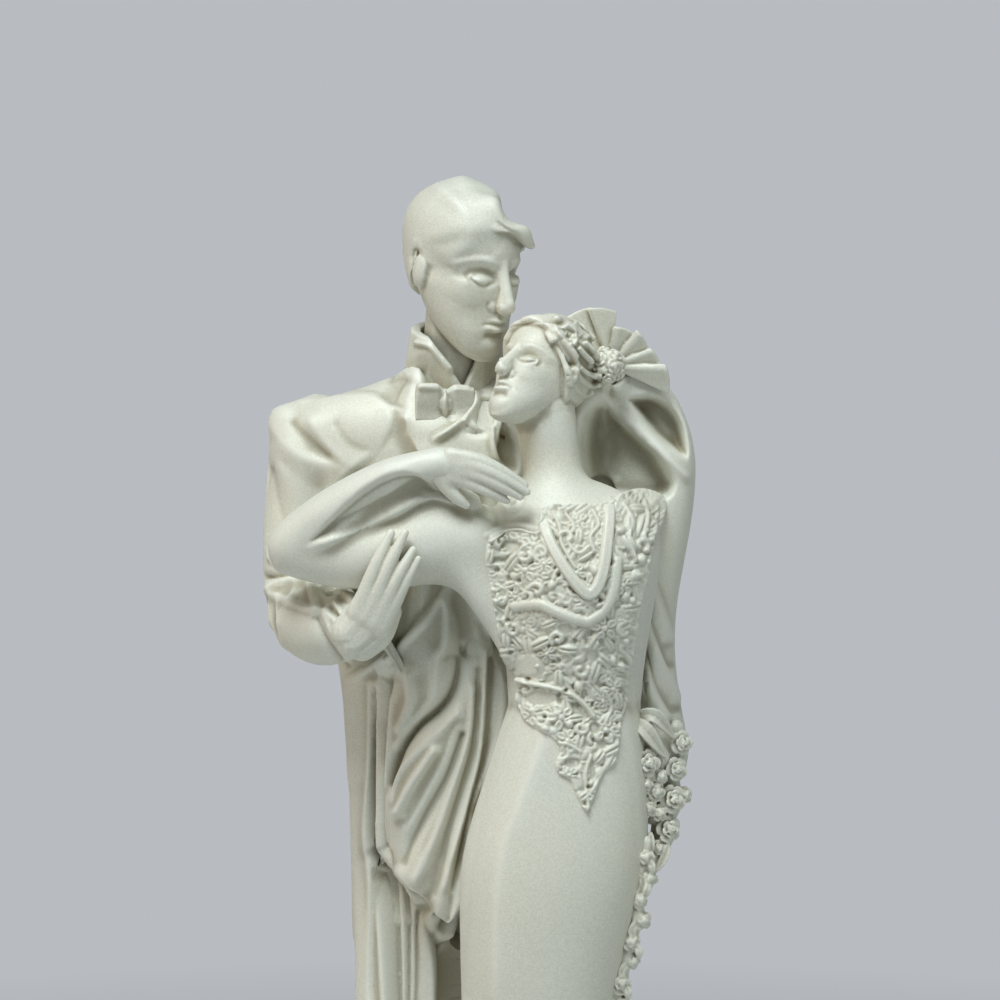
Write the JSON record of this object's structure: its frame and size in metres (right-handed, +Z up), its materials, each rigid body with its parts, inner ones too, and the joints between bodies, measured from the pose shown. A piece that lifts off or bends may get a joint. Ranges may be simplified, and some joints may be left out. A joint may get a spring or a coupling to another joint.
{
  "type": "wedding cake topper",
  "caption": "Pearl-painted resin bride and groom embracing on an oval plinth, with a lace bodice, pleated veil crest and rose garland, set on top of a cake.",
  "frame": {"origin": "centre of the plinth's underside", "axes": "+Z up, front of the couple towards -Y, groom on the -X side"},
  "size_m": [0.092, 0.068, 0.2007],
  "materials": {
    "pearl_resin": "satin pearl paint over cast resin",
    "dowel_steel": "plain drawn wire"
  },
  "bodies": {
    "root": {"plinth": "pearl_resin", "gown_dowel": "dowel_steel", "trouser_dowel": "dowel_steel", "groom_neck_dowel": "dowel_steel", "bride_neck_dowel": "dowel_steel", "groom_head": "pearl_resin", "groom_hair": "pearl_resin", "groom_collar": "pearl_resin", "groom_bow_tie": "pearl_resin", "shirt_front": "pearl_resin", "near_lapel": "pearl_resin", "far_lapel": "pearl_resin", "groom_jacket": "pearl_resin", "groom_sleeve": "pearl_resin", "groom_cuff": "pearl_resin", "groom_hand": "pearl_resin", "groom_far_sleeve": "pearl_resin", "coat_drape": "pearl_resin", "groom_trousers": "pearl_resin", "groom_shoe": "pearl_resin", "groom_far_shoe": "pearl_resin", "bride_head": "pearl_resin", "bride_hair": "pearl_resin", "bride_bun": "pearl_resin", "bride_upper_arm": "pearl_resin", "bride_forearm": "pearl_resin", "bride_hand": "pearl_resin", "bride_far_arm": "pearl_resin", "bride_bodice": "pearl_resin", "neckline_band": "pearl_resin", "lace_panel": "pearl_resin", "bride_gown": "pearl_resin", "veil_crest": "pearl_resin", "veil": "pearl_resin", "rose_1": "pearl_resin", "rose_2": "pearl_resin", "rose_3": "pearl_resin", "rose_4": "pearl_resin", "rose_5": "pearl_resin", "rose_garland": "pearl_resin"}
  },
  "joints": []
}
